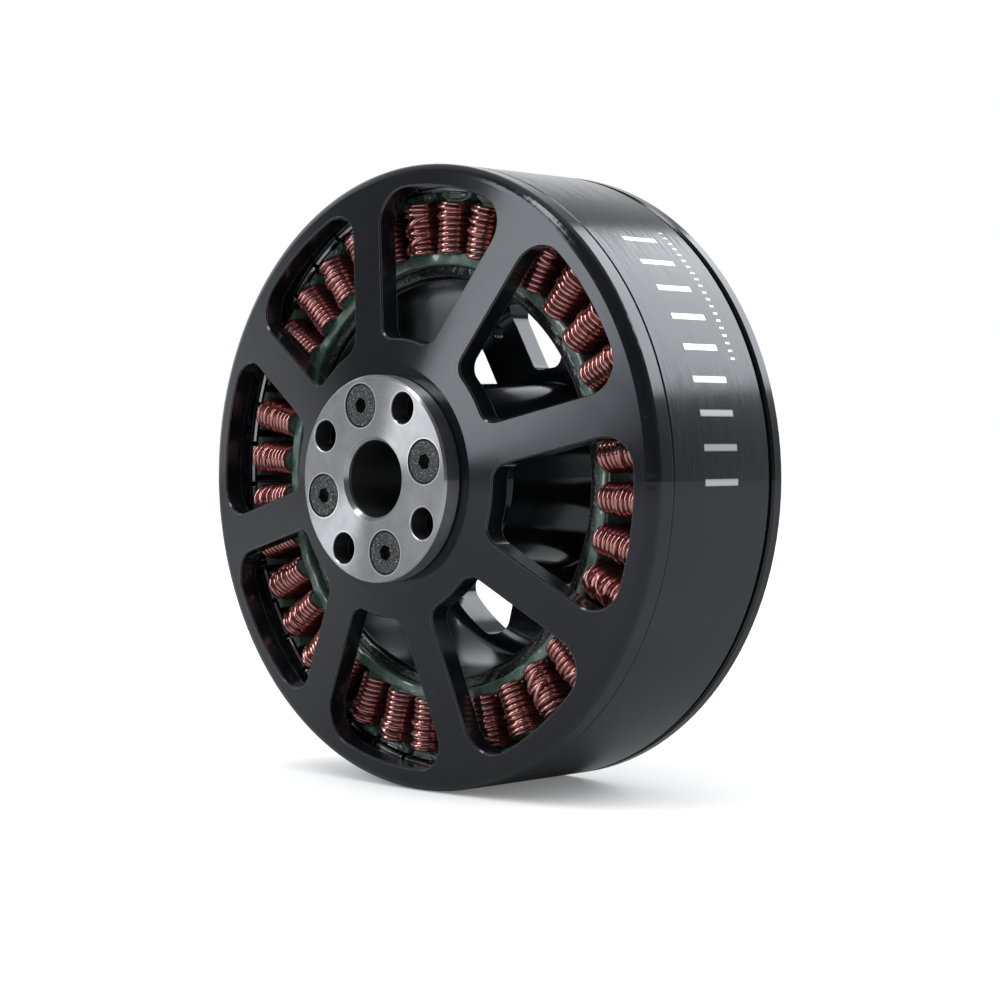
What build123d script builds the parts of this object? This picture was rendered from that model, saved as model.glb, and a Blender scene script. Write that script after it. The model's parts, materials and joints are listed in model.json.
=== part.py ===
from build123d import *
from math import cos, degrees, pi, radians, sin, sqrt
import os

# Brushless outrunner motor.
# Every piece is drawn about the Z axis: z = 0 is the base's mounting face and +Z points to the propeller.
# Angles run counter-clockwise from +X, seen from the propeller side.
# write() then lays the motor down, so that the propeller side faces -Y and the drawn +Y becomes +Z.
# All sizes are millimetres. Names ending in _r are radii, names ending in _z are heights.

fit_gap = 0.02           # gap between two pieces that sit tight against each other
running_gap = 0.10       # gap between pieces that turn past each other
tolerance = 0.05         # largest error when an edge is picked by its place

# ---- rotor can
rotor_r = 44.0
bell_seam_z = 28.8       # where the bell meets the flux ring
rim_face_z = 33.2        # front of the bell's rim, where the cone of the face starts
rim_face_r = 41.3
hub_face_z = 38.0        # flat top of the bell's hub
hub_face_r = 15.95
bell_wall = 3.0          # thickness of the bell's face along the axis
rim_fillet_r = 1.7
spigot_z = 27.8          # bottom of the lip that centres the flux ring
spigot_wall = 0.9
hub_boss_r = 14.6
hub_boss_z = 32.5
hub_boss_flare = 1.5     # 45 degree flare where the hub's boss meets the bell's inner face
nose_boss_r = 10.4
nose_boss_z = 29.0

spoke_count = 8
spoke_angle = 13.6
spoke_width = 5.8
window_inner_r = 19.5
window_outer_r = 40.8
window_inner_corner_r = 2.4
window_outer_corner_r = 4.3
window_chamfer = 0.2

flux_ring_inner_r = 42.5
flux_ring_z = 8.7        # rear end of the flux ring
rear_ring_z = 5.9
rear_ring_front_z = 7.9  # front of the rear ring's full diameter, behind the groove
groove_r = 43.2
rear_ring_inner_r = 41.5
rear_spigot_z = 9.6
edge_chamfer = 0.3
seam_chamfer = 0.2       # makes the fine groove between the bell and the flux ring

# ---- magnets
pole_count = 42
first_pole_angle = 1.9   # where the first magnet's share of the ring starts
magnet_inner_r = 41.0
magnet_gap = 0.75        # tangential gap between neighbours
magnet_chamfer = 0.25    # along the inner edge of both ends
magnet_low_z = 9.75
magnet_high_z = 27.65

# ---- hub flange and hollow shaft
flange_r = 14.35
flange_top_z = 40.9
flange_chamfer = 0.3
bore_r = 5.4
bore_mouth_chamfer = 0.5
shaft_r = 7.5
shaft_low_z = 0.2
shaft_chamfer = 0.2
bolt_circle_r = 11.4     # tapped propeller holes
bolt_hole_r = 2.15
bolt_mouth_chamfer = 0.15
bolt_angle = 58.6
screw_circle_r = 10.42
screw_angle = 13.6
screw_count = 4
screw_head_r = 2.98
screw_head_sink = 0.08
screw_shank_r = 1.5
screw_length = 8.0
screw_tip_chamfer = 0.3
screw_hex_r = 1.15       # corner radius of the 2 mm hex socket
screw_hex_depth = 1.2

# ---- stator
slot_count = 36
slot_angle = 5.8         # angle of the first tooth
stator_r = 40.5
yoke_outer_r = 31.5
yoke_inner_r = 30.0
stack_low_z = 9.4
stack_high_z = 27.4
tooth_width = 2.9
shoe_root_r = 39.1
shoe_tip_r = 39.8
slot_opening = 1.2
coil_inner_r = 31.7
coil_outer_r = 39.0
coil_wall = 0.95
coil_overhang = 2.6      # how far the end turns stand proud of the stack
coil_corner_r = 2.3
coil_slot_corner_r = 0.1
coil_slot_gap = 0.15     # between the coil and each end of the stack

# ---- base housing
base_r = 31.3
plate_thickness = 3.2
carrier_inner_r = 28.0
carrier_high_z = 26.9
carrier_fillet_r = 4.0
tube_r = 13.5
tube_high_z = 27.5
tube_fillet_r = 2.7
tube_chamfer = 0.6
base_window_inner_r = 16.2
base_window_outer_r = 27.4
base_window_corner_r = 2.2
base_window_inner_corner_r = 1.76
base_spoke_count = 8
base_spoke_width = 7.9
base_spoke_angle = 30.0
mount_circle_r = 25.0    # tapped M3 holes in four of the spokes
mount_hole_r = 1.25
mount_hole_count = 4
mount_chamfer = 0.25
glue_inner_r = 28.5
glue_high_z = 27.5
glue_slope = 0.4         # how far the bead's top edge is drawn in from the stack
glue_sag = 0.25          # how much lower the bead is at its inner side

# ---- bearings, 15 x 24 x 5
bearing_outer_r = 12.0
bearing_inner_r = 7.5
bearing_width = 5.0
outer_shoulder_r = 10.75
inner_shoulder_r = 8.75
bearing_chamfer = 0.2
ball_r = 1.19
ball_circle_r = 9.75
ball_count = 15
race_gap = 0.02
cage_inner_r = 9.15
cage_outer_r = 10.35
cage_low_side = 1.5      # how far the cage reaches from the ball centres, to each side
cage_high_side = 0.4
shield_thickness = 0.22
shield_inset = 0.15
front_bearing_z = 21.8   # low face of each bearing
rear_bearing_z = 1.8
bearing_stop_r = 10.9    # bore of the tube between the two seats
wave_washer_thickness = 0.3
wave_washer_space = 0.8

# ---- small shaft parts
spacer_outer_r = 8.6
shim_thickness = 0.3
shim_outer_r = 8.7
circlip_thickness = 1.0
circlip_low_z = 0.45
circlip_outer_r = 9.6
circlip_band_r = 8.8
circlip_eye_r = 1.0
circlip_eye_angle = 17.0
circlip_groove_r = 7.05
circlip_opening = 3.0

# ---- phase leads
lead_r = 1.7
lead_start_r = 35.4
lead_start_z = 6.3
lead_bend_r = 3.7
lead_end_r = 66.0
lead_offsets = {"a": -4.4, "b": 0.0, "c": 4.4}   # sideways places of the three leads
plug_sleeve_r = 2.0
plug_sleeve_length = 5.0
plug_pin_r = 1.75
plug_waist = 0.75        # the pin's radius at both ends, as a share of plug_pin_r
plug_length = 11.0


def at_angle(radius, angle, z=0.0):
    """Location at a radius and an angle about the motor's axis."""
    return Pos(radius * cos(radians(angle)), radius * sin(radians(angle)), z) * Rot(0, 0, angle)


def tube(inner_r, outer_r, low_z, high_z):
    """Plain ring about the motor's axis."""
    height = high_z - low_z
    return Pos(0, 0, low_z + height / 2) * (Cylinder(outer_r, height) - Cylinder(inner_r, height))


def lathe(points):
    """Solid turned from a closed outline of (radius, height) points."""
    corners = [(radius, 0, height) for radius, height in points]
    return revolve(make_face(Polyline(*corners, close=True)), Axis.Z)


def write(name, part):
    """Lay the piece down in the motor's own frame and save it."""
    export_step(Rot(90, 0, 0) * part, f"parts/{name}.step")


def circles(part, radius, height):
    """The part's circular edges of one radius at one height."""
    rings = part.edges().filter_by(GeomType.CIRCLE)
    return [e for e in rings if abs(e.radius - radius) < 0.01 and abs(e.arc_center.Z - height) < 0.01]


def face_z(radius):
    """Height of the bell's conical outer face at a radius."""
    slope = (hub_face_z - rim_face_z) / (rim_face_r - hub_face_r)
    return rim_face_z + (rim_face_r - radius) * slope


def spoked_windows(inner_r, outer_r, width, count, angle, inner_corner_r, outer_corner_r):
    """Openings between straight spokes: a ring cut by bars, with rounded corners."""
    windows = Circle(outer_r) - Circle(inner_r)
    for index in range(count // 2):
        windows -= Rot(0, 0, angle + index * 360 / count) * Rectangle(3 * outer_r, width)
    middle_r = (inner_r + outer_r) / 2
    outer = [v for v in windows.vertices() if sqrt(v.X**2 + v.Y**2) > middle_r]
    windows = fillet(outer, outer_corner_r)
    inner = [v for v in windows.vertices() if sqrt(v.X**2 + v.Y**2) < inner_r + tolerance]
    return fillet(inner, inner_corner_r)


# ---------------------------------------------------------------- rotor

def front_bell():
    edge = [
        (shaft_r + fit_gap, nose_boss_z),
        (shaft_r + fit_gap, hub_face_z - fit_gap),
        (hub_face_r, hub_face_z - fit_gap),
        (rotor_r, face_z(rotor_r)),
        (rotor_r, bell_seam_z + seam_chamfer),
        (rotor_r - seam_chamfer, bell_seam_z),
        (flux_ring_inner_r - fit_gap, bell_seam_z),
        (flux_ring_inner_r - fit_gap, spigot_z),
        (flux_ring_inner_r - spigot_wall, spigot_z),
        (flux_ring_inner_r - spigot_wall, face_z(flux_ring_inner_r - spigot_wall) - bell_wall),
        (hub_boss_r + hub_boss_flare, face_z(hub_boss_r + hub_boss_flare) - bell_wall),
        (hub_boss_r, hub_boss_z + hub_boss_flare),
        (hub_boss_r, hub_boss_z),
        (nose_boss_r, hub_boss_z),
        (nose_boss_r, nose_boss_z),
    ]
    bell = lathe(edge)
    bell = fillet(circles(bell, rotor_r, face_z(rotor_r)), rim_fillet_r)
    outlines = spoked_windows(window_inner_r, window_outer_r, spoke_width, spoke_count, spoke_angle,
                              window_inner_corner_r, window_outer_corner_r)
    bell -= Pos(0, 0, spigot_z) * extrude(outlines, flange_top_z - spigot_z)
    bell = chamfer(window_edges(bell), window_chamfer)
    through = 2 * (hub_face_z - hub_boss_z + screw_length)
    for index in range(screw_count):
        turn = 360 / screw_count * index
        screw_hole = Cylinder(screw_shank_r + fit_gap, through)
        bell -= at_angle(screw_circle_r, screw_angle + turn, hub_face_z) * screw_hole
        bell -= at_angle(bolt_circle_r, bolt_angle + turn, hub_face_z) * Cylinder(bolt_hole_r, through)
    return bell


def window_edges(bell):
    """Edges where the windows break the bell's conical face."""
    found = []
    for edge in bell.edges():
        middle = edge.position_at(0.5)
        radius = sqrt(middle.X**2 + middle.Y**2)
        on_cone = abs(middle.Z - face_z(radius)) < tolerance
        if on_cone and window_inner_r - tolerance < radius < window_outer_r + tolerance:
            found.append(edge)
    return found


def flux_ring():
    high_z = bell_seam_z - fit_gap
    return lathe([
        (flux_ring_inner_r, flux_ring_z),
        (rotor_r - edge_chamfer, flux_ring_z),
        (rotor_r, flux_ring_z + edge_chamfer),
        (rotor_r, high_z - seam_chamfer),
        (rotor_r - seam_chamfer, high_z),
        (flux_ring_inner_r, high_z),
    ])


def rear_ring():
    chamfer_z = rear_ring_front_z - edge_chamfer
    return lathe([
        (rear_ring_inner_r, rear_ring_z),
        (rotor_r - edge_chamfer, rear_ring_z),
        (rotor_r, rear_ring_z + edge_chamfer),
        (rotor_r, chamfer_z),
        (rotor_r - edge_chamfer, rear_ring_front_z),
        (groove_r, rear_ring_front_z),
        (groove_r, flux_ring_z - fit_gap),
        (flux_ring_inner_r - fit_gap, flux_ring_z - fit_gap),
        (flux_ring_inner_r - fit_gap, rear_spigot_z),
        (rear_ring_inner_r, rear_spigot_z),
    ])


def magnets(first_pole):
    """Every second magnet, starting at the given pole."""
    pitch = 360 / pole_count
    half_gap = degrees(magnet_gap / 2 / flux_ring_inner_r)
    span = pitch - 2 * half_gap
    outline = make_face(Polyline(*[
        (magnet_inner_r + magnet_chamfer, 0, magnet_low_z),
        (flux_ring_inner_r - fit_gap, 0, magnet_low_z),
        (flux_ring_inner_r - fit_gap, 0, magnet_high_z),
        (magnet_inner_r + magnet_chamfer, 0, magnet_high_z),
        (magnet_inner_r, 0, magnet_high_z - magnet_chamfer),
        (magnet_inner_r, 0, magnet_low_z + magnet_chamfer),
    ], close=True))
    block = revolve(outline, Axis.Z, span)
    starts = [first_pole_angle + pole * pitch + half_gap for pole in range(first_pole, pole_count, 2)]
    return Compound([Rot(0, 0, start) * block for start in starts])


def hub_shaft():
    part = lathe([
        (bore_r, shaft_low_z),
        (shaft_r - shaft_chamfer, shaft_low_z),
        (shaft_r, shaft_low_z + shaft_chamfer),
        (shaft_r, circlip_low_z),
        (circlip_groove_r - fit_gap, circlip_low_z),
        (circlip_groove_r - fit_gap, circlip_low_z + circlip_thickness + fit_gap),
        (shaft_r, circlip_low_z + circlip_thickness + fit_gap),
        (shaft_r, hub_face_z),
        (flange_r - flange_chamfer, hub_face_z),
        (flange_r, hub_face_z + flange_chamfer),
        (flange_r, flange_top_z - flange_chamfer),
        (flange_r - flange_chamfer, flange_top_z),
        (bore_r + bore_mouth_chamfer, flange_top_z),
        (bore_r, flange_top_z - bore_mouth_chamfer),
    ])
    thickness = flange_top_z - hub_face_z
    mouth = Cone(bolt_hole_r, bolt_hole_r + 2 * bolt_mouth_chamfer, 2 * bolt_mouth_chamfer)
    for index in range(screw_count):
        turn = 360 / screw_count * index
        part -= at_angle(screw_circle_r, screw_angle + turn) * screw_seat()
        hole = at_angle(bolt_circle_r, bolt_angle + turn, hub_face_z + thickness / 2)
        part -= hole * Cylinder(bolt_hole_r, 2 * thickness)
        part -= at_angle(bolt_circle_r, bolt_angle + turn, flange_top_z) * mouth
    return part


def screw_seat():
    """Countersink and through hole that a flange screw sits in."""
    head_r = screw_head_r + 2 * fit_gap
    shank_r = screw_shank_r + 2 * fit_gap
    depth = head_r - shank_r
    return lathe([
        (0, hub_face_z - running_gap),
        (shank_r, hub_face_z - running_gap),
        (shank_r, flange_top_z - depth - screw_head_sink),
        (head_r, flange_top_z - screw_head_sink),
        (head_r, flange_top_z + running_gap),
        (0, flange_top_z + running_gap),
    ])


def flange_screws():
    top_z = flange_top_z - screw_head_sink
    cone_depth = screw_head_r - screw_shank_r
    body = lathe([
        (0, top_z - screw_length),
        (screw_shank_r - screw_tip_chamfer, top_z - screw_length),
        (screw_shank_r, top_z - screw_length + screw_tip_chamfer),
        (screw_shank_r, top_z - cone_depth),
        (screw_head_r, top_z),
        (0, top_z),
    ])
    socket = extrude(RegularPolygon(screw_hex_r, 6), 2 * screw_hex_depth)
    screw = body - Pos(0, 0, top_z - screw_hex_depth) * socket
    places = [at_angle(screw_circle_r, screw_angle + 360 / screw_count * i) for i in range(screw_count)]
    return Compound([place * screw for place in places])


# ---------------------------------------------------------------- stator

def stator_core():
    """Yoke with one T-shaped tooth for each slot."""
    half_pitch = pi * stator_r / slot_count
    half_shoe = half_pitch - slot_opening / 2
    half_tooth = tooth_width / 2
    root_r = (yoke_inner_r + yoke_outer_r) / 2
    past_r = 2 * stator_r - shoe_tip_r
    tooth = Polygon(
        (root_r, -half_tooth), (shoe_root_r, -half_tooth), (shoe_tip_r, -half_shoe),
        (past_r, -half_shoe), (past_r, half_shoe), (shoe_tip_r, half_shoe),
        (shoe_root_r, half_tooth), (root_r, half_tooth), align=None)
    outline = Circle(yoke_outer_r)
    for index in range(slot_count):
        outline += Rot(0, 0, slot_angle + index * 360 / slot_count) * tooth
    outline = (outline & Circle(stator_r)) - Circle(yoke_inner_r)
    return Pos(0, 0, stack_low_z) * extrude(outline, stack_high_z - stack_low_z)


def coil():
    """One coil, lying along +X: a rounded block with a slot for its tooth."""
    width = tooth_width + 2 * coil_wall
    height = stack_high_z - stack_low_z + 2 * coil_overhang
    hole_height = stack_high_z - stack_low_z + 2 * coil_slot_gap
    outside = RectangleRounded(width, height, coil_corner_r)
    inside = RectangleRounded(tooth_width + 2 * fit_gap, hole_height, coil_slot_corner_r)
    section = Plane.YZ * (outside - inside)
    middle_z = (stack_high_z + stack_low_z) / 2
    return Pos(coil_inner_r, 0, middle_z) * extrude(section, coil_outer_r - coil_inner_r)


def phase_coils(phase):
    """Twelve coils: pairs of neighbouring teeth, repeated every sixth tooth."""
    blank = coil()
    coils = []
    for index in range(slot_count):
        if (index // 2) % 3 == phase:
            coils.append(Rot(0, 0, slot_angle + index * 360 / slot_count) * blank)
    return Compound(coils)


def glue_bead():
    """Adhesive over the joint between the stack and the carrier ring."""
    outer_r = yoke_inner_r - fit_gap
    base_z = carrier_high_z + fit_gap
    return lathe([
        (glue_inner_r, base_z),
        (outer_r, base_z),
        (outer_r, glue_high_z - running_gap),
        (outer_r - glue_slope, glue_high_z),
        (glue_inner_r + glue_sag, glue_high_z - glue_sag),
    ])


def base_housing():
    seat_r = bearing_outer_r + fit_gap
    body = lathe([
        (seat_r, 0),
        (base_r - edge_chamfer, 0),
        (base_r, edge_chamfer),
        (base_r, stack_low_z - fit_gap),
        (yoke_inner_r - fit_gap, stack_low_z - fit_gap),
        (yoke_inner_r - fit_gap, carrier_high_z),
        (carrier_inner_r, carrier_high_z),
        (carrier_inner_r, plate_thickness),
        (tube_r, plate_thickness),
        (tube_r, tube_high_z - tube_chamfer),
        (tube_r - tube_chamfer, tube_high_z),
        (seat_r, tube_high_z),
        (seat_r, front_bearing_z),
        (bearing_stop_r, front_bearing_z),
        (bearing_stop_r, rear_bearing_z + bearing_width + wave_washer_space),
        (seat_r, rear_bearing_z + bearing_width + wave_washer_space),
    ])
    body = fillet(circles(body, carrier_inner_r, plate_thickness), carrier_fillet_r)
    body = fillet(circles(body, tube_r, plate_thickness), tube_fillet_r)
    outlines = spoked_windows(base_window_inner_r, base_window_outer_r, base_spoke_width, base_spoke_count,
                              base_spoke_angle, base_window_inner_corner_r, base_window_corner_r)
    body -= extrude(outlines, plate_thickness + carrier_fillet_r)
    mouth = Cone(mount_hole_r + 2 * mount_chamfer, mount_hole_r, 2 * mount_chamfer)
    for index in range(mount_hole_count):
        angle = base_spoke_angle + index * 360 / mount_hole_count
        body -= at_angle(mount_circle_r, angle) * Cylinder(mount_hole_r, 4 * plate_thickness)
        body -= at_angle(mount_circle_r, angle) * mouth
    return body


# ---------------------------------------------------------------- bearings

def race_groove():
    """The torus that the balls run in, slightly larger than a ball."""
    return Torus(ball_circle_r, ball_r + race_gap)


def bearing_ring(inner_r, outer_r, low_z):
    """Bearing ring with rounded face corners and a ball groove."""
    ring = tube(inner_r, outer_r, low_z, low_z + bearing_width)
    ring = chamfer(ring.edges().filter_by(GeomType.CIRCLE), bearing_chamfer)
    return ring - Pos(0, 0, low_z + bearing_width / 2) * race_groove()


def bearing_outer_ring(low_z):
    return bearing_ring(outer_shoulder_r, bearing_outer_r, low_z)


def bearing_inner_ring(low_z):
    return bearing_ring(bearing_inner_r + fit_gap, inner_shoulder_r, low_z)


def bearing_balls(low_z):
    middle_z = low_z + bearing_width / 2
    angles = [index * 360 / ball_count for index in range(ball_count)]
    return Compound([at_angle(ball_circle_r, angle, middle_z) * Sphere(ball_r) for angle in angles])


def bearing_cage(low_z):
    """Crown cage: a thin ring on one side of the balls, with fingers that reach between them."""
    middle_z = low_z + bearing_width / 2
    cage = tube(cage_inner_r, cage_outer_r, middle_z - cage_low_side, middle_z + cage_high_side)
    for index in range(ball_count):
        pocket = at_angle(ball_circle_r, index * 360 / ball_count, middle_z)
        cage -= pocket * Sphere(ball_r + running_gap)
    return cage


def bearing_shields(low_z):
    """Two thin discs that close the gap between the rings."""
    outer_r = outer_shoulder_r - fit_gap
    inner_r = inner_shoulder_r + running_gap
    low = tube(inner_r, outer_r, low_z + shield_inset, low_z + shield_inset + shield_thickness)
    high_z = low_z + bearing_width - shield_inset
    high = tube(inner_r, outer_r, high_z - shield_thickness, high_z)
    return Compound([low, high])


def preload_washer():
    """Wave washer that pushes on the rear bearing's outer ring: three waves in a thin split ring."""
    waves = 3
    step = 10
    middle_r = (bearing_stop_r + bearing_outer_r) / 2
    middle_z = rear_bearing_z + bearing_width + wave_washer_space / 2
    rise = (wave_washer_space - wave_washer_thickness) / 2 - 2 * fit_gap
    strip = Rectangle(bearing_outer_r - bearing_stop_r - 2 * running_gap, wave_washer_thickness)
    sections = []
    for angle in range(step // 2, 360, step):
        outward = Vector(cos(radians(angle)), sin(radians(angle)), 0)
        centre = outward * middle_r + Vector(0, 0, middle_z + rise * cos(radians(waves * angle)))
        sections.append(Plane(origin=centre, x_dir=outward, z_dir=outward.rotate(Axis.Z, 90)) * strip)
    return loft(sections)


def hub_spacer():
    low_z = front_bearing_z + bearing_width + fit_gap
    return tube(bearing_inner_r + fit_gap, spacer_outer_r, low_z, nose_boss_z - fit_gap)


def rear_shim():
    low_z = rear_bearing_z - shim_thickness
    return tube(bearing_inner_r + fit_gap, shim_outer_r, low_z + fit_gap, rear_bearing_z - fit_gap)


def shaft_circlip():
    """External retaining ring, open on one side, with two eyes for the pliers."""
    low_z = circlip_low_z + fit_gap
    ring = Circle(circlip_band_r) - Circle(circlip_groove_r)
    ring -= Pos(circlip_outer_r, 0) * Rectangle(2 * circlip_outer_r, circlip_opening)
    for side in (-1, 1):
        eye = at_angle(circlip_outer_r - circlip_eye_r, side * circlip_eye_angle)
        ring += eye * Circle(circlip_eye_r)
        ring -= eye * Circle(circlip_eye_r / 2)
    ring -= Circle(circlip_groove_r)
    return Pos(0, 0, low_z) * extrude(ring, circlip_thickness - 2 * fit_gap)


# ---------------------------------------------------------------- phase leads

def phase_lead(offset):
    """Insulated lead: down from the coil ends, round a bend, then straight out behind the can."""
    start = Vector(-sqrt(lead_start_r**2 - offset**2), offset, lead_start_z)
    slack = lead_bend_r * (1 - cos(radians(45)))
    middle = start + Vector(-slack, 0, slack - lead_bend_r)
    corner = start + Vector(-lead_bend_r, 0, -lead_bend_r)
    end = Vector(-lead_end_r, offset, corner.Z)
    path = ThreePointArc(start, middle, corner) + Line(corner, end)
    section = Plane(origin=start, z_dir=(0, 0, -1)) * Circle(lead_r)
    return sweep(section, path)


def lead_plug():
    """Bullet plug: a solder sleeve and a barrel-shaped pin, drawn along +Z."""
    outline = [(0, fit_gap), (plug_sleeve_r, fit_gap), (plug_sleeve_r, plug_sleeve_length)]
    outline.append((plug_pin_r * plug_waist, plug_sleeve_length))
    steps = 8
    for step in range(1, steps + 1):
        along = step / steps
        radius = plug_pin_r * (plug_waist + (1 - plug_waist) * sin(pi * along))
        outline.append((radius, plug_sleeve_length + (plug_length - plug_sleeve_length) * along))
    outline.append((0, plug_length))
    return lathe(outline)


def lead_plugs():
    blank = Rot(0, -90, 0) * lead_plug()
    height = lead_start_z - lead_bend_r
    return Compound([Pos(-lead_end_r, offset, height) * blank for offset in lead_offsets.values()])


os.makedirs("parts", exist_ok=True)
write("front_bell", front_bell())
write("flux_ring", flux_ring())
write("rear_ring", rear_ring())
write("magnets_north", magnets(0))
write("magnets_south", magnets(1))
write("hub_shaft", hub_shaft())
write("flange_screws", flange_screws())
write("base_housing", base_housing())
write("stator_core", stator_core())
write("glue_bead", glue_bead())
for number, letter in enumerate("abc"):
    write(f"phase_{letter}_coils", phase_coils(number))
for side, side_z in (("front", front_bearing_z), ("rear", rear_bearing_z)):
    write(f"{side}_bearing_outer_ring", bearing_outer_ring(side_z))
    write(f"{side}_bearing_inner_ring", bearing_inner_ring(side_z))
    write(f"{side}_bearing_balls", bearing_balls(side_z))
    write(f"{side}_bearing_cage", bearing_cage(side_z))
    write(f"{side}_bearing_shields", bearing_shields(side_z))
write("preload_washer", preload_washer())
write("hub_spacer", hub_spacer())
write("rear_shim", rear_shim())
write("shaft_circlip", shaft_circlip())
for letter, place in lead_offsets.items():
    write(f"phase_{letter}_lead", phase_lead(place))
write("lead_plugs", lead_plugs())
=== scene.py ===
"""Looks of a brushless outrunner motor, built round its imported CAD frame.

Metres, in the frame's own axes: the shaft lies along Y, the propeller side faces -Y and +Z is up.
Sizes of details are written in millimetres times MM.
"""
import json
import math
import random

import bpy
import numpy as np
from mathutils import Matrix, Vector


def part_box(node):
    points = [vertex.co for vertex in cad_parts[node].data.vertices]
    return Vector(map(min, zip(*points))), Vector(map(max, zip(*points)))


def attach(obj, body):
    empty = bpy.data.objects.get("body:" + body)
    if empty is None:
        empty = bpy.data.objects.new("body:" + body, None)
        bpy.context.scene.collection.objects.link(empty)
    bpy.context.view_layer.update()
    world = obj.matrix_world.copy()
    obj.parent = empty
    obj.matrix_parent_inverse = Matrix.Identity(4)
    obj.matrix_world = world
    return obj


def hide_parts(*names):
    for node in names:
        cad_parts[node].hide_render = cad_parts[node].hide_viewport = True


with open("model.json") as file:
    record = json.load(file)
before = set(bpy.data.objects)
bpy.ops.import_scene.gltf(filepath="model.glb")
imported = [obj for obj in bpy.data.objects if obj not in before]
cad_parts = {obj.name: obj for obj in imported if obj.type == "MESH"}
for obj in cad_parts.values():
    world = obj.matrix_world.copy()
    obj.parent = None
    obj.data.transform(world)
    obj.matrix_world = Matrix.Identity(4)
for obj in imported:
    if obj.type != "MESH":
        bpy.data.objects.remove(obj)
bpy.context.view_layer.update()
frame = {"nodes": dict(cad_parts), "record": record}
nodes = frame["nodes"]
MM = 0.001

# ---- stator winding, worked out from the frame
tooth_count = 36
first_tooth_angle = math.radians(5.8)
tooth_width = 2.9 * MM
wire_d = 0.70 * MM
turn_pitch = 0.765 * MM
turns_per_layer = 10
wire_sides = 10
arch_points = 13
stack_front = -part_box("stator_core")[0].y      # heights are measured from the mounting face to the propeller
stack_rear = -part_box("stator_core")[1].y
first_turn_r = 31.85 * MM
slot_liner = 0.06 * MM                         # between the tooth and the wire
arch_height = 2.1 * MM
crossed_strides = {                            # by tooth: steps inward along the tooth, in turn pitches
    9: (0.0, 8.2, -3.2, -0.3, -3.4),
    30: (0.0, 7.4, -2.9, 0.6, -3.6),
    33: (0.0, 8.3, -2.6, 0.4, -3.4),
}
crossed_lift = 0.72                            # of crossing turns over the first layer, in wire diameters
crossed_shares = (0.92, 0.05)                  # of a stride that lies at the front, going outward and inward
ring_inner_r = 30.02 * MM                      # green end ring between the coils and the base
ring_outer_r = 31.75 * MM
coat_thickness = 0.75 * MM                     # of the green ring over the stack's ends
tip_coat_thickness = 0.32 * MM
tip_inner_r = 39.25 * MM
tip_half_width = 2.1 * MM
tip_setback = 0.12 * MM                        # of the coat from the tip's outer face
rib_radii = (39.55 * MM, 39.93 * MM, 40.28 * MM)
stator_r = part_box("stator_core")[1].x

# ---- flange, from the frame
flange_front = -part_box("hub_shaft")[0].y
bore_r = 5.4 * MM
bore_mouth = 0.95 * MM                         # bare steel at the mouth of the bore
bolt_circle_r = 11.4 * MM
bolt_hole_r = 2.15 * MM
bolt_angle = math.radians(58.6)
screw_circle_r = 10.42 * MM
screw_head_r = 2.98 * MM
screw_angle = math.radians(13.6)
screw_front = -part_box("flange_screws")[0].y
hex_r = 1.2 * MM

# ---- base
mount_circle_r = 25.0 * MM
mount_hole_r = 1.25 * MM
mount_angle = math.radians(30.0)
plate_front = 3.2 * MM
thread_pitch = 0.5 * MM
thread_low, thread_high = 0.3 * MM, plate_front - 0.25 * MM
glue_inner_r = 28.5 * MM
glue_low, glue_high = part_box("glue_bead")

# ---- etched rows on the can: step, first and last in degrees, start, end and edge in shares of a step, low
# and high in millimetres above the mounting face
etched_bars = {"step": 6.0, "first": -3.0, "last": 51.0, "start": 0.36, "end": 0.54,
               "low": 15.6, "high": 22.4, "edge": 0.02}
etched_ticks = {"step": 1.5, "first": 21.0, "last": 51.0, "start": 0.35, "end": 0.60,
                "low": 12.5, "high": 13.3, "edge": 0.06}
etched_edge = 0.06                             # millimetres

# ---- studio
rim_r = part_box("flux_ring")[1].x
camera_place = (0.2437, -0.2675, 0.00544)
camera_turn = (math.radians(88.56), 0.0, math.radians(44.05))
camera_lens = 86.77
sky_tint = (0.955, 0.975, 1.0, 1.0)
room_direction = (0.629, -0.777, 0.0)          # towards the unlit room beside the camera
softbox_distance = 1.0
floor_half_size = 3.0


# ---------------------------------------------------------------- node helpers
def add(tree, kind, inputs=None, **settings):
    """Adds a node; inputs maps a socket's name or number to a value or to another node's output."""
    made = tree.nodes.new(kind)
    for name, value in settings.items():
        setattr(made, name, value)
    for key, value in (inputs or {}).items():
        if isinstance(value, bpy.types.NodeSocket):
            tree.links.new(value, made.inputs[key])
        else:
            made.inputs[key].default_value = value
    return made


def calc(tree, operation, first, second=0.0):
    """Output of a math node."""
    return add(tree, "ShaderNodeMath", {0: first, 1: second}, operation=operation).outputs[0]


def blend(tree, share, first, second):
    """Colour between first (share 0) and second (share 1)."""
    made = add(tree, "ShaderNodeMix", data_type="RGBA")
    sockets = {"Factor_Float": share, "A_Color": first, "B_Color": second}
    for socket in made.inputs:
        value = sockets.get(socket.identifier)
        if value is None:
            continue
        if isinstance(value, bpy.types.NodeSocket):
            tree.links.new(value, socket)
        elif socket.type == "RGBA":
            socket.default_value = (*value, 1.0)
        else:
            socket.default_value = value
    return [o for o in made.outputs if o.identifier == "Result_Color"][0]


def ramp(tree, value, low, high, out_low=0.0, out_high=1.0):
    """Value mapped from low..high to out_low..out_high, held at both ends."""
    made = add(tree, "ShaderNodeMapRange", {0: value, 1: low, 2: high, 3: out_low, 4: out_high})
    return made.outputs[0]


def band(tree, value, low, high, soft):
    """1 between low and high, 0 outside, with soft shoulders."""
    rising = ramp(tree, value, low - soft, low + soft)
    falling = ramp(tree, value, high - soft, high + soft, 1.0, 0.0)
    return calc(tree, "MULTIPLY", rising, falling)


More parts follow.
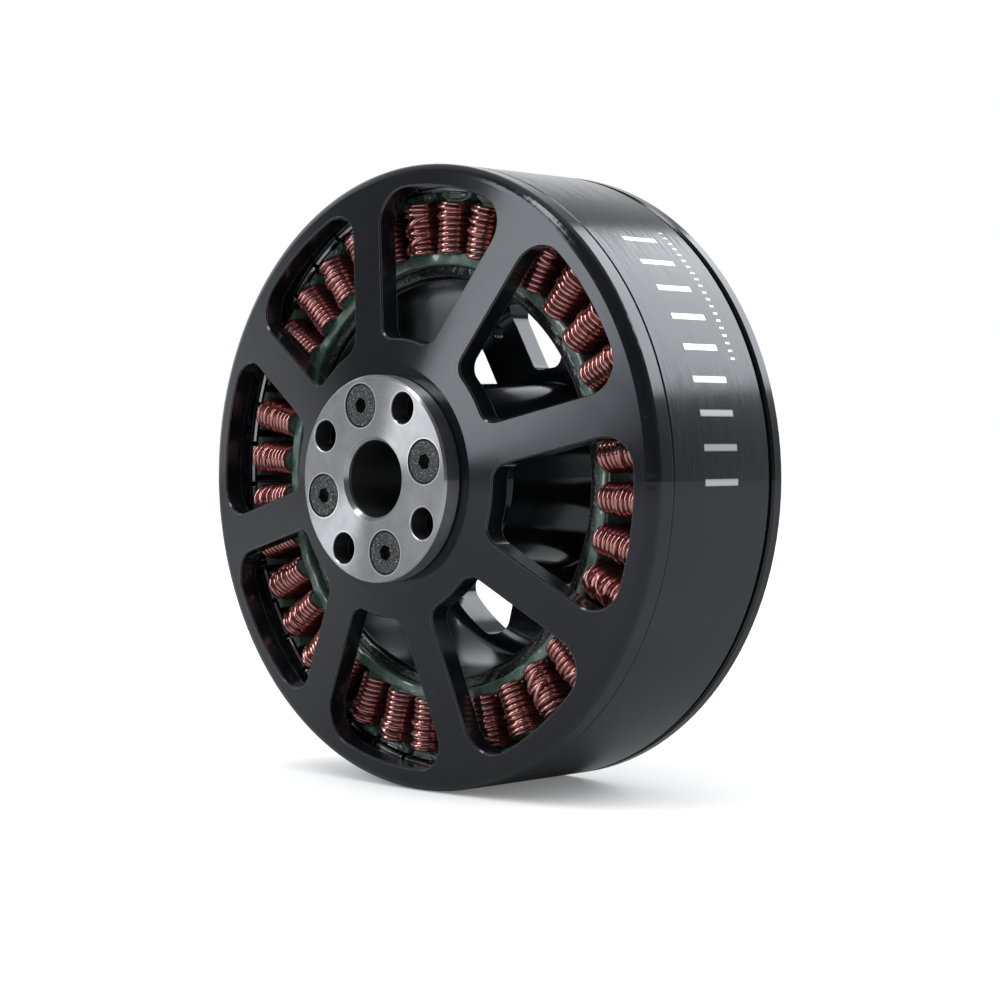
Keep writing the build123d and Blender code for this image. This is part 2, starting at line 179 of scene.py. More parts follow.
def noise(tree, vector, scale, detail=2.0, roughness=0.5):
    """Value of a noise texture."""
    made = add(tree, "ShaderNodeTexNoise",
               {"Vector": vector, "Scale": scale, "Detail": detail, "Roughness": roughness})
    return made.outputs[0]


def place(tree):
    """Place on the piece at rest, in metres."""
    return add(tree, "ShaderNodeTexCoord").outputs["Object"]


def polar(tree):
    """Radius from the shaft's axis, place along it, angle round it, and the way of rotation in the scene."""
    parts = add(tree, "ShaderNodeSeparateXYZ", {0: place(tree)})
    x, y, z = parts.outputs[0], parts.outputs[1], parts.outputs[2]
    square = calc(tree, "ADD", calc(tree, "MULTIPLY", x, x), calc(tree, "MULTIPLY", z, z))
    radius = calc(tree, "SQRT", square)
    angle = calc(tree, "ARCTAN2", z, x)
    around = add(tree, "ShaderNodeCombineXYZ", {0: calc(tree, "MULTIPLY", z, -1.0), 2: x}).outputs[0]
    turn = add(tree, "ShaderNodeVectorTransform", {0: around},
               vector_type="VECTOR", convert_from="OBJECT", convert_to="WORLD")
    return radius, y, angle, turn.outputs[0]


def hole_distance(tree, circle_r, first_angle, count):
    """Distance from the nearest hole axis of a bolt circle."""
    radius, _, angle, _ = polar(tree)
    half_step = math.pi / count
    shifted = calc(tree, "SUBTRACT", angle, first_angle)
    offset = add(tree, "ShaderNodeMath", {0: shifted, 1: half_step, 2: -half_step},
                 operation="WRAP").outputs[0]
    across = calc(tree, "MULTIPLY", radius, calc(tree, "SINE", offset))
    along = calc(tree, "SUBTRACT", calc(tree, "MULTIPLY", radius, calc(tree, "COSINE", offset)), circle_r)
    return calc(tree, "SQRT", calc(tree, "ADD", calc(tree, "MULTIPLY", across, across),
                                   calc(tree, "MULTIPLY", along, along)))


def turned_grain(tree, fineness, drift=2.0):
    """Noise drawn out round the axis, like the marks that a lathe leaves."""
    radius, along, angle, turn = polar(tree)
    vector = add(tree, "ShaderNodeCombineXYZ", {0: calc(tree, "MULTIPLY", radius, 1.0 / fineness),
                                                1: calc(tree, "MULTIPLY", along, 1.0 / fineness),
                                                2: calc(tree, "MULTIPLY", angle, drift)}).outputs[0]
    return noise(tree, vector, 1.0, 3.0, 0.6), turn


def edge_glint_mask(tree, radius):
    """Near 1 on sharp outer edges and 0 on open faces; it marks where painted highlights are laid along edges.
    """
    rounded = add(tree, "ShaderNodeBevel", {"Radius": radius}, samples=4).outputs[0]
    normal = add(tree, "ShaderNodeNewGeometry").outputs["Normal"]
    match = add(tree, "ShaderNodeVectorMath", {0: rounded, 1: normal}, operation="DOT_PRODUCT")
    return ramp(tree, match.outputs["Value"], 0.98, 0.80)


def principled(name, inputs, bump_distance=0.00002, bump_strength=0.5, bevel=0.0):
    """A material with one Principled shader, whose inputs come from a function of the node tree."""
    made = bpy.data.materials.new(name)
    made.use_nodes = True
    tree = made.node_tree
    tree.nodes.clear()
    values = inputs(tree)
    height = values.pop("height", None)
    shader = add(tree, "ShaderNodeBsdfPrincipled", values)
    start = add(tree, "ShaderNodeBevel", {"Radius": bevel}, samples=4).outputs[0] if bevel else None
    if height is not None:
        tilt = add(tree, "ShaderNodeBump",
                   {"Strength": bump_strength, "Distance": bump_distance, "Height": height})
        if start is not None:
            tree.links.new(start, tilt.inputs["Normal"])
        start = tilt.outputs[0]
    if start is not None:
        tree.links.new(start, shader.inputs["Normal"])
    out = add(tree, "ShaderNodeOutputMaterial")
    tree.links.new(shader.outputs[0], out.inputs[0])
    return made


# ---------------------------------------------------------------- materials
def black_anodised(name, colour, roughness, spread, grain, grain_depth, bevel, edge_glint_amount, etched=False):
    """Black anodised aluminium: dark satin film with turned marks, specks of dust and a painted highlight
    along sharp edges.
    """
    def build(tree):
        marks, turn = turned_grain(tree, grain, 9.0)
        clouds = noise(tree, place(tree), 90.0, 3.0)
        specks = ramp(tree, noise(tree, place(tree), 2600.0, 1.0), 0.80, 0.84)
        glint_edges = edge_glint_mask(tree, 0.14 * MM)
        lighter = tuple(c * 1.3 for c in colour)
        base = blend(tree, ramp(tree, clouds, 0.35, 0.7), colour, lighter)
        base = blend(tree, calc(tree, "MULTIPLY", specks, 0.35), base, (0.25, 0.25, 0.26))
        # Painted highlight: a pale grey mixed in along sharp edges, standing in for their glint.
        base = blend(tree, calc(tree, "MULTIPLY", glint_edges, edge_glint_amount), base, (0.42, 0.43, 0.46))
        rough = calc(tree, "ADD", ramp(tree, marks, 0.3, 0.7, roughness - spread / 2, roughness + spread / 2),
                     ramp(tree, clouds, 0.3, 0.7, -0.01, 0.01))
        metal = 0.0
        if etched:
            pattern = etched_marks(tree)
            base = blend(tree, pattern, base, (0.70, 0.71, 0.73))
            rough = add(tree, "ShaderNodeMix", {0: pattern, 2: rough, 3: 0.26}, data_type="FLOAT").outputs[0]
            metal = calc(tree, "MULTIPLY", pattern, 0.93)
        return {"Base Color": base, "Metallic": metal, "Roughness": rough, "IOR": 1.52,
                "Anisotropic": 0.3, "Anisotropic Rotation": 0.25, "Tangent": turn,
                "Specular Tint": (0.90, 0.94, 1.0, 1.0), "height": marks}
    return principled(name, build, bump_distance=0.003 * MM, bump_strength=grain_depth, bevel=bevel)


def etched_marks(tree):
    """Plain graduation bars etched bright on the can, with a fine line of ticks beside them."""
    radius, along, angle, _ = polar(tree)
    outside = ramp(tree, radius, rim_r - 0.10 * MM, rim_r - 0.02 * MM)
    height = calc(tree, "MULTIPLY", along, -1.0 / MM)
    degrees = calc(tree, "MULTIPLY", angle, 180 / math.pi)

    def row(step, first, last, start, end, low, high, edge):
        """Marks every step degrees from first to last, each over a share of its step and a span of height."""
        phase = calc(tree, "FRACT", calc(tree, "MULTIPLY", calc(tree, "SUBTRACT", degrees, first), 1 / step))
        marks = calc(tree, "MULTIPLY", band(tree, phase, start, end, edge),
                     band(tree, height, low, high, etched_edge))
        return calc(tree, "MULTIPLY", marks, band(tree, degrees, first, last, 0.1))
    bars = row(**etched_bars)
    ticks = row(**etched_ticks)
    return calc(tree, "MULTIPLY", calc(tree, "MAXIMUM", bars, ticks), outside)


def turned_steel(name):
    """Bare turned steel of the propeller flange, with painted shade inside the bore, the tapped holes and the
    screw seats, and painted highlights on the hole rims and sharp edges.
    """
    def build(tree):
        radius, along, _, _ = polar(tree)
        marks, turn = turned_grain(tree, 0.09 * MM, 3.0)
        broad, _ = turned_grain(tree, 0.7 * MM, 1.0)
        clouds = noise(tree, place(tree), 420.0, 4.0)
        to_bolt = hole_distance(tree, bolt_circle_r, bolt_angle, 4)
        to_screw = hole_distance(tree, screw_circle_r, screw_angle, 4)
        # Painted shade: past its mouth the bore, the tapped holes and the gap round each screw head are made
        # near black and non-metallic, standing in for the dark inside them.
        deep = ramp(tree, along, -flange_front + bore_mouth - 0.05 * MM, -flange_front + bore_mouth)
        in_bore = calc(tree, "MULTIPLY", deep, ramp(tree, radius, bore_r + 0.06 * MM, bore_r + 0.02 * MM))
        in_bolt = ramp(tree, to_bolt, bolt_hole_r + 0.06 * MM, bolt_hole_r + 0.02 * MM)
        in_seat = ramp(tree, to_screw, screw_head_r + 0.14 * MM, screw_head_r + 0.08 * MM)
        black = calc(tree, "MAXIMUM", in_bore, calc(tree, "MAXIMUM", in_bolt, in_seat))
        # Painted highlight: near-white rings round the screw seats and bolt-hole mouths, and along sharp
        # edges, standing in for their glint.
        glint_rings = calc(tree, "MAXIMUM",
                    band(tree, to_screw, screw_head_r + 0.13 * MM, screw_head_r + 0.27 * MM, 0.04 * MM),
                    band(tree, to_bolt, bolt_hole_r + 0.08 * MM, bolt_hole_r + 0.25 * MM, 0.04 * MM))
        glint_edges = edge_glint_mask(tree, 0.22 * MM)
        base = blend(tree, ramp(tree, clouds, 0.35, 0.75), (0.43, 0.435, 0.445), (0.53, 0.535, 0.545))
        base = blend(tree, ramp(tree, broad, 0.45, 0.8, 0.0, 0.30), base, (0.38, 0.385, 0.395))
        bright = calc(tree, "MULTIPLY", calc(tree, "MAXIMUM", glint_rings, glint_edges), 0.7)
        base = blend(tree, bright, base, (0.97, 0.98, 0.99))
        # Painted shade laid over the bore, the holes and the screw seats.
        base = blend(tree, black, base, (0.012, 0.012, 0.013))
        rough = ramp(tree, marks, 0.3, 0.7, 0.27, 0.35)
        return {"Base Color": base, "Metallic": calc(tree, "SUBTRACT", 1.0, black), "Roughness": rough,
                "Anisotropic": 0.90, "Anisotropic Rotation": 0.25, "Tangent": turn, "height": marks}
    return principled(name, build, bump_distance=0.003 * MM, bump_strength=0.22, bevel=0.05 * MM)


def ground_steel(name, colour, roughness):
    """Ground or polished steel with fine marks round the axis."""
    def build(tree):
        marks, turn = turned_grain(tree, 0.12 * MM)
        base = blend(tree, ramp(tree, noise(tree, place(tree), 500.0), 0.3, 0.7), colour,
                     tuple(c * 0.8 for c in colour))
        return {"Base Color": base, "Metallic": 1.0,
                "Roughness": ramp(tree, marks, 0.3, 0.7, roughness, roughness + 0.08),
                "Anisotropic": 0.4, "Anisotropic Rotation": 0.25, "Tangent": turn, "height": marks}
    return principled(name, build, bump_distance=0.003 * MM, bump_strength=0.4)


def black_oxide(name, front):
    """Black oxide steel; heads at a given height are speckled where the finish is rubbed through, with painted
    shade round the rim of each head.
    """
    def build(tree):
        grit = noise(tree, place(tree), 2500.0, 3.0, 0.65)
        pits = add(tree, "ShaderNodeTexVoronoi", {"Vector": place(tree), "Scale": 2300.0},
                   feature="DISTANCE_TO_EDGE").outputs["Distance"]
        _, along, _, _ = polar(tree)
        to_screw = hole_distance(tree, screw_circle_r, screw_angle, 4)
        on_head = ramp(tree, along, -front + 0.10 * MM, -front + 0.04 * MM)
        # Painted shade: the outer rim of each head keeps the near-black colour outside the lighter face,
        # standing in for the dark gap round the head.
        face = calc(tree, "MULTIPLY", on_head,
                    ramp(tree, to_screw, screw_head_r - 0.10 * MM, screw_head_r - 0.22 * MM))
        in_socket = calc(tree, "MULTIPLY", ramp(tree, to_screw, hex_r + 0.02 * MM, hex_r - 0.02 * MM),
                         calc(tree, "SUBTRACT", 1.0, on_head))
        specks = calc(tree, "MULTIPLY", calc(tree, "MAXIMUM", ramp(tree, grit, 0.60, 0.70),
                                             ramp(tree, pits, 0.05, 0.02, 0.0, 0.25)), face)
        base = blend(tree, face, (0.006, 0.006, 0.007), (0.042, 0.043, 0.046))
        base = blend(tree, specks, base, (0.70, 0.70, 0.72))
        base = blend(tree, in_socket, base, (0.07, 0.07, 0.072))
        height = calc(tree, "MULTIPLY", grit, face)
        rough = ramp(tree, in_socket, 0.0, 1.0, 0.38, 0.16)
        return {"Base Color": base, "Metallic": 0.85, "Roughness": rough, "height": height}
    return principled(name, build, bump_distance=0.035 * MM, bump_strength=0.7, bevel=0.03 * MM)


def epoxy_coat(name):
    """Green epoxy powder coat over the stator laminations: grainy, with wet-looking runs."""
    def build(tree):
        grains = noise(tree, place(tree), 3800.0, 3.0, 0.6)
        lumps = noise(tree, place(tree), 800.0, 3.0)
        clouds = noise(tree, place(tree), 300.0, 3.0)
        base = blend(tree, ramp(tree, clouds, 0.35, 0.7), (0.038, 0.078, 0.060), (0.090, 0.142, 0.114))
        base = blend(tree, ramp(tree, grains, 0.60, 0.72, 0.0, 0.35), base, (0.16, 0.21, 0.18))
        height = calc(tree, "ADD", lumps, calc(tree, "MULTIPLY", grains, 0.35))
        return {"Base Color": base, "Roughness": ramp(tree, lumps, 0.35, 0.65, 0.22, 0.50),
                "Coat Weight": 0.9, "Coat Roughness": 0.08, "Coat IOR": 1.6, "height": height}
    return principled(name, build, bump_distance=0.12 * MM, bump_strength=0.6, bevel=0.15 * MM)


def resin(name):
    """Glossy black adhesive with scattered pale flecks."""
    def build(tree):
        lumps = noise(tree, place(tree), 1300.0, 3.0, 0.6)
        flecks = ramp(tree, noise(tree, place(tree), 5200.0, 2.0), 0.68, 0.72)
        base = blend(tree, lumps, (0.006, 0.007, 0.007), (0.016, 0.018, 0.017))
        base = blend(tree, calc(tree, "MULTIPLY", flecks, 0.6), base, (0.45, 0.46, 0.45))
        return {"Base Color": base, "Roughness": ramp(tree, lumps, 0.3, 0.7, 0.07, 0.16), "height": lumps}
    return principled(name, build, bump_distance=0.12 * MM, bump_strength=0.7)


def enamelled_copper(name):
    """Copper wire under a clear red-brown enamel."""
    def build(tree):
        clouds = noise(tree, place(tree), 600.0, 3.0)
        nicks = ramp(tree, noise(tree, place(tree), 1900.0, 1.0), 0.74, 0.80)
        base = blend(tree, ramp(tree, clouds, 0.3, 0.7), (0.45, 0.165, 0.150), (0.60, 0.275, 0.255))
        base = blend(tree, calc(tree, "MULTIPLY", nicks, 0.4), base, (0.13, 0.05, 0.045))
        return {"Base Color": base, "Metallic": 0.95, "Roughness": ramp(tree, clouds, 0.3, 0.7, 0.15, 0.21),
                "Coat Weight": 1.0, "Coat Roughness": 0.06, "Coat IOR": 1.8,
                "Coat Tint": (1.0, 0.95, 0.94, 1.0), "height": clouds}
    return principled(name, build, bump_distance=0.006 * MM, bump_strength=0.3)


def nickel(name):
    """Dark, mirror-smooth plating on the magnets, with a painted highlight along the edges."""
    def build(tree):
        clouds = noise(tree, place(tree), 500.0, 3.0)
        glint_edges = edge_glint_mask(tree, 0.25 * MM)
        base = blend(tree, clouds, (0.34, 0.34, 0.35), (0.48, 0.48, 0.49))
        # Painted highlight: near-white colour along the edges, standing in for their glint.
        return {"Base Color": blend(tree, glint_edges, base, (0.90, 0.90, 0.92)), "Metallic": 1.0,
                "Roughness": ramp(tree, glint_edges, 0.0, 1.0, 0.10, 0.34), "height": clouds}
    return principled(name, build, bump_distance=0.01 * MM, bump_strength=0.3, bevel=0.12 * MM)


def silicone(name):
    """Black silicone sleeve of the phase leads."""
    def build(tree):
        skin = noise(tree, place(tree), 1500.0, 3.0)
        return {"Base Color": blend(tree, skin, (0.012, 0.012, 0.013), (0.03, 0.03, 0.032)),
                "Roughness": ramp(tree, skin, 0.3, 0.7, 0.42, 0.55), "Sheen Weight": 0.1, "height": skin}
    return principled(name, build, bump_distance=0.03 * MM, bump_strength=0.5)


def gold_plate(name):
    """Gold plating on the bullet plugs."""
    def build(tree):
        clouds = noise(tree, place(tree), 600.0, 3.0)
        return {"Base Color": blend(tree, clouds, (0.72, 0.46, 0.14), (0.92, 0.68, 0.30)), "Metallic": 1.0,
                "Roughness": ramp(tree, clouds, 0.3, 0.7, 0.16, 0.30), "height": clouds}
    return principled(name, build, bump_distance=0.01 * MM, bump_strength=0.4, bevel=0.08 * MM)


def moulded_nylon(name):
    """Pale moulded ball cage."""
    def build(tree):
        grain = noise(tree, place(tree), 2200.0, 3.0)
        return {"Base Color": blend(tree, grain, (0.46, 0.37, 0.22), (0.62, 0.52, 0.34)),
                "Roughness": ramp(tree, grain, 0.3, 0.7, 0.42, 0.55), "height": grain}
    return principled(name, build, bump_distance=0.02 * MM, bump_strength=0.4)


def make_slot_materials():
    """One material for each material slot of the record."""
    bell, can, tail = (0.0045, 0.0048, 0.0060), (0.0055, 0.0058, 0.0070), (0.0050, 0.0053, 0.0064)
    # The last number of each black finish sets how strongly a painted highlight is laid along its sharp edges.
    return {
        "bell": black_anodised("bell_black", bell, roughness=0.15, spread=0.03, grain=0.35 * MM,
                               grain_depth=0.03, bevel=0.06 * MM, edge_glint_amount=0.50),
        "can": black_anodised("can_black", can, roughness=0.20, spread=0.15, grain=0.32 * MM,
                              grain_depth=0.32, bevel=0.04 * MM, edge_glint_amount=0.10, etched=True),
        "can_end": black_anodised("can_end_black", tail, roughness=0.16, spread=0.0, grain=0.30 * MM,
                                  grain_depth=0.0, bevel=0.0, edge_glint_amount=0.0),
        "base": black_anodised("base_black", tail, roughness=0.16, spread=0.03, grain=0.40 * MM,
                               grain_depth=0.05, bevel=0.08 * MM, edge_glint_amount=0.25),
        "hub": turned_steel("flange_steel"),
        "screw": black_oxide("screw_black", screw_front),
        "spring_steel": black_oxide("spring_black", 0.0),
        "core": epoxy_coat("stator_green"),
        "glue": resin("adhesive_black"),
        "winding": enamelled_copper("copper_enamel"),
        "magnet": nickel("magnet_nickel"),
        "bearing_steel": ground_steel("bearing_steel", (0.60, 0.60, 0.61), 0.22),
        "ball_steel": ground_steel("ball_steel", (0.72, 0.72, 0.73), 0.06),
        "cage": moulded_nylon("cage_nylon"),
        "lead": silicone("lead_silicone"),
        "plug": gold_plate("plug_gold"),
    }


# ---------------------------------------------------------------- mesh helpers
def spot(radius, angle, height, sideways=0.0):
    """Point from a radius, an angle round the shaft, a height to the propeller and a shift along the turn."""
    c, s = np.cos(angle), np.sin(angle)
    return np.stack([radius * c - sideways * s, -height + 0 * c, radius * s + sideways * c], axis=-1)


def tube_mesh(path, radius, sides):
    """Vertices and faces of a round wire along a path of points, with flat ends."""
    path = np.asarray(path)
    ahead = np.gradient(path, axis=0)
    ahead /= np.linalg.norm(ahead, axis=1)[:, None]
    across = np.cross(ahead[0], (0.31, 0.77, 0.56))
    rings = []
    for point, way in zip(path, ahead):
        across = across - way * (across @ way)
        across /= np.linalg.norm(across)
        other = np.cross(way, across)
        turn = np.linspace(0.0, 2 * math.pi, sides, endpoint=False)
        rings.append(point + radius * (np.cos(turn)[:, None] * across + np.sin(turn)[:, None] * other))
    count = len(path)
    step = np.arange(sides)
    after = (step + 1) % sides
    faces = []
    for i in range(count - 1):
        low, high = i * sides, (i + 1) * sides
        faces.extend(np.stack([low + step, low + after, high + after, high + step], axis=1).tolist())
    faces.append(list(range(sides))[::-1])
    faces.append(list(range((count - 1) * sides, count * sides)))
    return np.concatenate(rings), faces


def make_piece(name, parts, slot, body, smooth=True):
    """One mesh object from a list of (vertices, faces), finished like a slot and riding on a body."""
    vertices, faces, start = [], [], 0
    for points, polygons in parts:
        vertices.append(points)
        faces.extend([start + i for i in polygon] for polygon in polygons)
        start += len(points)
    mesh = bpy.data.meshes.new(name)
    mesh.from_pydata(np.concatenate(vertices).tolist(), [], faces)
    mesh.validate()
    mesh.polygons.foreach_set("use_smooth", [smooth] * len(mesh.polygons))
    mesh.materials.append(slot_materials[slot])
    piece = bpy.data.objects.new(name, mesh)
    bpy.context.scene.collection.objects.link(piece)
    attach(piece, body)
    return piece


# ---------------------------------------------------------------- winding
def tooth_angle(tooth):
    """Angle of a tooth's middle round the shaft."""
    return first_tooth_angle + tooth * 2 * math.pi / tooth_count


def coil_path(tooth, draw):
    """Centre line of one coil's wire: a full layer outward along the tooth, then a loose second layer back.

    The second layer of a few coils goes back in long strides, so that its turns lie across the first layer.
    """
    half = tooth_width / 2 + slot_liner + wire_d / 2
    turns = [(float(i), 0) for i in range(turns_per_layer)]
    level = turns_per_layer - 1.5
    loose = ((0.0, 2.0), (0.0, 1.0, 2.0), (0.0, 3.0, 1.0), (0.0, 2.0, 2.0), (0.0, 1.0))
    strides = draw.choice(loose)
    for step in crossed_strides.get(tooth, strides):
        level -= step
        turns.append((level, 1))
    angle = tooth_angle(tooth)
    front_share = draw.choice((0.05, 0.15, 0.4))
    front = np.linspace(0.0, math.pi, arch_points)
    rear = np.linspace(math.pi, 2 * math.pi, arch_points)
    points = []
    for number, (level, layer) in enumerate(turns):
        following = turns[number + 1][0] if number + 1 < len(turns) else level - 0.5
        travel = following - level
        widen = layer * wire_d * 0.30 + draw.uniform(-0.02, 0.02) * MM
        lift = layer * wire_d * 0.55 + draw.uniform(-0.05, 0.05) * MM
        lean = draw.uniform(-0.04, 0.04) * MM
        share = front_share if layer == 0 else draw.choice((0.1, 0.3, 0.8))
        if layer == 1 and tooth in crossed_strides:
            share, lift = crossed_shares[0 if travel > 0 else 1], crossed_lift * wire_d
        for start, end, sweep, face in ((0.0, share, front, stack_front), (share, 1.0, rear, stack_rear)):
            done = start + (end - start) * (1 - np.cos(sweep - sweep[0])) / 2
            radius = first_turn_r + (level + done * travel) * turn_pitch + lean * np.sin(sweep)
            side = (half + widen) * np.cos(sweep)
            height = face + (arch_height + lift) * np.sin(sweep)
            points.append(spot(radius, angle, height, side))
    return np.concatenate(points)


def make_winding():
    """Three phases of enamelled wire, wound turn by turn round every tooth."""
    draw = random.Random(36)
    phases = {"a": [], "b": [], "c": []}
    for tooth in range(tooth_count):
        phase = "abc"[(tooth // 2) % 3]
        phases[phase].append(tube_mesh(coil_path(tooth, draw), wire_d / 2, wire_sides))
    for phase, parts in phases.items():
        wires = make_piece(f"phase_{phase}_wire", parts, "winding", "stator")
        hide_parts(f"phase_{phase}_coils")


# ---------------------------------------------------------------- stator coat and glue
def revolve(profile, count, wobble=None):
    """Closed ring mesh from a closed outline of (radius, height), shifted by wobble(angle, index)."""
    rings = []
    for step in range(count):
        angle = 2 * math.pi * step / count
        shift = np.array([wobble(angle, i) if wobble else (0.0, 0.0) for i in range(len(profile))])
        outline = np.asarray(profile) + shift
        rings.append(spot(outline[:, 0], np.full(len(profile), angle), outline[:, 1]))
    side = len(profile)
    faces = []
    for step in range(count):
        low, high = step * side, (step + 1) % count * side
        for i in range(side):
            j = (i + 1) % side
            faces.append((low + i, low + j, high + j, high + i))
    return np.concatenate(rings), faces


def stacked(outlines, heights):
    """Closed solid through outlines of equal length, each a list of (radius, angle) at its own height."""
    side = len(outlines[0])
    rings = [spot(np.array([p[0] for p in outline]), np.array([p[1] for p in outline]), height)
             for outline, height in zip(outlines, heights)]
    faces = [list(range(side))[::-1], [(len(outlines) - 1) * side + i for i in range(side)]]
    for level in range(len(outlines) - 1):
        low, high = level * side, (level + 1) * side
        for i in range(side):
            j = (i + 1) % side
            faces.append((low + i, low + j, high + j, high + i))
    return np.concatenate(rings), faces


def tip_outline(angle, inset, draw):
    """Outline of a tooth's tip seen along the shaft, pulled in by inset and slightly uneven."""
    inner_r, outer_r = tip_inner_r + inset, stator_r - tip_setback - inset
    half_width = tip_half_width - inset
    steps = 7
    outline = []
    for i in range(steps):
        side = -half_width + 2 * half_width * i / (steps - 1)
        outline.append((outer_r, angle + side / outer_r))
    for i in range(steps):
        side = half_width - 2 * half_width * i / (steps - 1)
        dip = 0.45 * MM * (side / half_width) ** 2
        outline.append((inner_r + dip + draw.uniform(-0.05, 0.05) * MM, angle + side / inner_r))
    return outline


def make_stator_coat():
    """Green epoxy over the stack's ends: a rounded ring inside the coils and a pad on every tooth tip."""
    draw = random.Random(7)
    middle, half = (ring_inner_r + ring_outer_r) / 2, (ring_outer_r - ring_inner_r) / 2
    parts = []
    for face, way in ((stack_front, 1.0), (stack_rear, -1.0)):
        crown = [(middle - half * math.copysign(abs(math.cos(t)) ** 0.45, math.cos(t)),
                  face + way * coat_thickness * math.sin(t) ** 0.45) for t in np.linspace(0.0, math.pi, 15)]
        waves = [(draw.uniform(0.03, 0.07) * MM, draw.randint(5, 60), draw.uniform(0, 6.3)) for _ in range(8)]

        def wobble(angle, index, waves=waves, way=way, crown=crown):
            rise = sum(size * math.sin(count * angle + start) for size, count, start in waves)
            free = 0.0 if index in (0, len(crown) - 1) else 1.0
            return 0.6 * abs(rise) * free, way * rise * free
        parts.append(revolve(crown, 360, wobble))
        for tooth in range(tooth_count):
            angle = tooth_angle(tooth)
            insets = (0.0, 0.03 * MM, 0.12 * MM, 0.32 * MM)
            rises = (0.0, 0.55, 0.88, 1.0)
            rise = tip_coat_thickness * draw.uniform(0.85, 1.15)
            parts.append(stacked([tip_outline(angle, inset, draw) for inset in insets],
                                 [face + way * rise * share for share in rises]))
    make_piece("stator_end_coat", parts, "core", "stator")


def make_tip_edges():
    """Bare steel edges of the laminations, showing as bright ribs through the coat of every tooth tip."""
    edge_r, half_width, level = 0.08 * MM, 1.25 * MM, 0.42 * MM
    parts = []
    for tooth in range(tooth_count):
        angle = tooth_angle(tooth)
        for face, way in ((stack_front, 1.0), (stack_rear, -1.0)):
            for radius in rib_radii:
                sideways = np.linspace(-half_width, half_width, 7)
                path = spot(np.full(7, radius), angle + sideways / radius, face + way * level)
                parts.append(tube_mesh(path, edge_r, 6))
    make_piece("tip_edges", parts, "bearing_steel", "stator")


def make_coil_cores():
    """Insulating saddles on both ends of every tooth, which the end turns bend round."""
    half = tooth_width / 2 + slot_liner
    rise = arch_height - wire_d / 2
    inner_r = first_turn_r - wire_d * 0.4
    last_r = first_turn_r + (turns_per_layer - 1) * turn_pitch + wire_d * 0.4
    parts = []
    for tooth in range(tooth_count):
        angle = tooth_angle(tooth)
        for face, way in ((stack_front, 1.0), (stack_rear, -1.0)):
            sweep = np.linspace(0.0, math.pi, arch_points)
            height, side = face + way * rise * np.sin(sweep), half * np.cos(sweep)
            ends = [spot(np.full(arch_points, r), angle, height, side) for r in (inner_r, last_r)]
            faces = [list(range(arch_points)), list(range(arch_points, 2 * arch_points))[::-1]]
            for i in range(arch_points):
                j = (i + 1) % arch_points
                faces.append((i, arch_points + i, arch_points + j, j))
            parts.append((np.concatenate(ends), faces))
    make_piece("tooth_saddles", parts, "core", "stator", smooth=False)


def make_glue_bead():
    """Uneven bead of black adhesive between the stator and the base's carrier ring."""
    draw = random.Random(11)
    middle = (glue_inner_r + glue_high.x) / 2
    half = glue_high.x - middle
    low, high = -glue_high.y, -glue_low.y
    count = 16
    crown = [(middle - half * math.cos(t), (low + high) / 2 + (high - low) / 2 * math.sin(t))
             for t in np.linspace(0.0, 2 * math.pi, count, endpoint=False)]
    waves = [(draw.uniform(0.03, 0.09) * MM, draw.randint(7, 70), draw.uniform(0, 6.3)) for _ in range(10)]

    def wobble(angle, index):
        turn = 2 * math.pi * index / count
        lump = sum(size * math.sin(number * angle + start + 2.0 * turn) for size, number, start in waves)
        return -abs(lump) * 0.6 * (1 if math.cos(turn) > 0 else -1), -abs(lump) * 0.5 * math.sin(turn)
    bead = make_piece("glue_run", [revolve(crown, 480, wobble)], "glue", "stator")
    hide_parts("glue_bead")


def make_threads():
    """Thread crests inside the tapped holes of the base."""
    def crests(angle):
        crest_r = thread_pitch * 0.24
        turns = (thread_high - thread_low - 2 * crest_r) / thread_pitch
        turn = np.arange(0.0, 2 * math.pi * turns, 2 * math.pi / 20)
        centre = spot(mount_circle_r, angle, 0.0)
        height = thread_low + crest_r + turn / (2 * math.pi) * thread_pitch
        reach = mount_hole_r - crest_r * 0.2
        path = np.stack([centre[0] + reach * np.cos(turn), -height, centre[2] + reach * np.sin(turn)], axis=1)
        return tube_mesh(path, crest_r, 6)
    threads = [crests(mount_angle + i * math.pi / 2) for i in range(4)]
    make_piece("base_threads", threads, "base", "stator")


# ---------------------------------------------------------------- studio
def away_from_room(tree, vector):
    """-1 towards the white backdrop behind the motor, 1 towards the dark room on the camera's side."""
    flat = add(tree, "ShaderNodeVectorMath", {0: vector, 1: (1.0, 1.0, 0.0)}, operation="MULTIPLY").outputs[0]
    way = add(tree, "ShaderNodeVectorMath", {0: flat}, operation="NORMALIZE").outputs[0]
    made = add(tree, "ShaderNodeVectorMath", {0: way, 1: room_direction}, operation="DOT_PRODUCT")
    return made.outputs["Value"]


